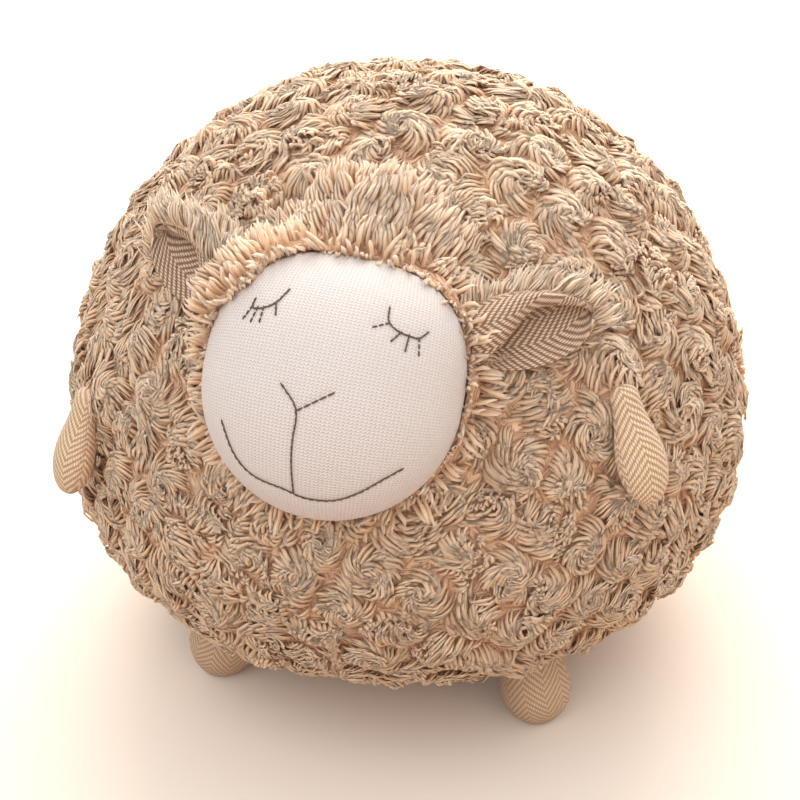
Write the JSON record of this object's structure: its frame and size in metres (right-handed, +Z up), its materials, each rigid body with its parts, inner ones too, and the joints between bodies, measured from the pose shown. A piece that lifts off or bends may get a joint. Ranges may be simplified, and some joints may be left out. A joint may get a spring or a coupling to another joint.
{
  "type": "plush toy sheep",
  "caption": "Round stuffed toy sheep: ball body of curly plush, knitted face with sewn features, cupped ears, hanging arms and stub feet.",
  "frame": {"origin": "on the floor under the middle of the body, on the flat patch the body rests on", "axes": "+Z up; the face looks along -Y; +X is the sheep's own left side"},
  "size_m": [0.2997, 0.3231, 0.2601],
  "materials": {
    "curly_plush": "long curly pile in rosettes, warm beige with pale tips",
    "knitted_jersey": "fine off-white jersey knit",
    "herringbone_cloth": "woven herringbone in cream and tan yarns",
    "wadding": "loose white fibre filling",
    "embroidery_thread": "dark brown embroidery thread"
  },
  "bodies": {
    "body": {"body_front_cover": "curly_plush", "body_back_cover": "curly_plush", "body_filling": "wadding", "head_hood": "curly_plush", "face_panel": "knitted_jersey", "head_filling": "wadding", "left_eye_stitches": "embroidery_thread", "right_eye_stitches": "embroidery_thread", "nose_stitches": "embroidery_thread", "mouth_stitches": "embroidery_thread", "left_foot_cover": "herringbone_cloth", "left_foot_filling": "wadding", "right_foot_cover": "herringbone_cloth", "right_foot_filling": "wadding"},
    "left_ear": {"left_ear_back": "curly_plush", "left_ear_lining": "herringbone_cloth"},
    "right_ear": {"right_ear_back": "curly_plush", "right_ear_lining": "herringbone_cloth"},
    "left_arm": {"left_arm_cover": "herringbone_cloth", "left_arm_filling": "wadding"},
    "right_arm": {"right_arm_cover": "herringbone_cloth", "right_arm_filling": "wadding"}
  },
  "joints": [
    {"name": "left_ear_swing", "type": "hinge", "parent": "body", "child": "left_ear", "pos_m": [0.04518, -0.10774, 0.20823], "axis": [0.2672, -0.5107, -0.8172], "range_deg": [0, 45], "stiffness_Nm_per_rad": 0.02},
    {"name": "right_ear_swing", "type": "hinge", "parent": "body", "child": "right_ear", "pos_m": [-0.04055, -0.10416, 0.21395], "axis": [0.4147, 0.4822, 0.7717], "range_deg": [0, 45], "stiffness_Nm_per_rad": 0.02},
    {"name": "left_arm_swing", "type": "hinge", "parent": "body", "child": "left_arm", "pos_m": [0.10469, -0.09417, 0.17864], "axis": [-0.6597, -0.7515, 0.0049], "range_deg": [0, 80]},
    {"name": "right_arm_swing", "type": "hinge", "parent": "body", "child": "right_arm", "pos_m": [-0.11208, -0.10083, 0.15186], "axis": [-0.659, 0.7521, -0.0022], "range_deg": [0, 80]}
  ]
}
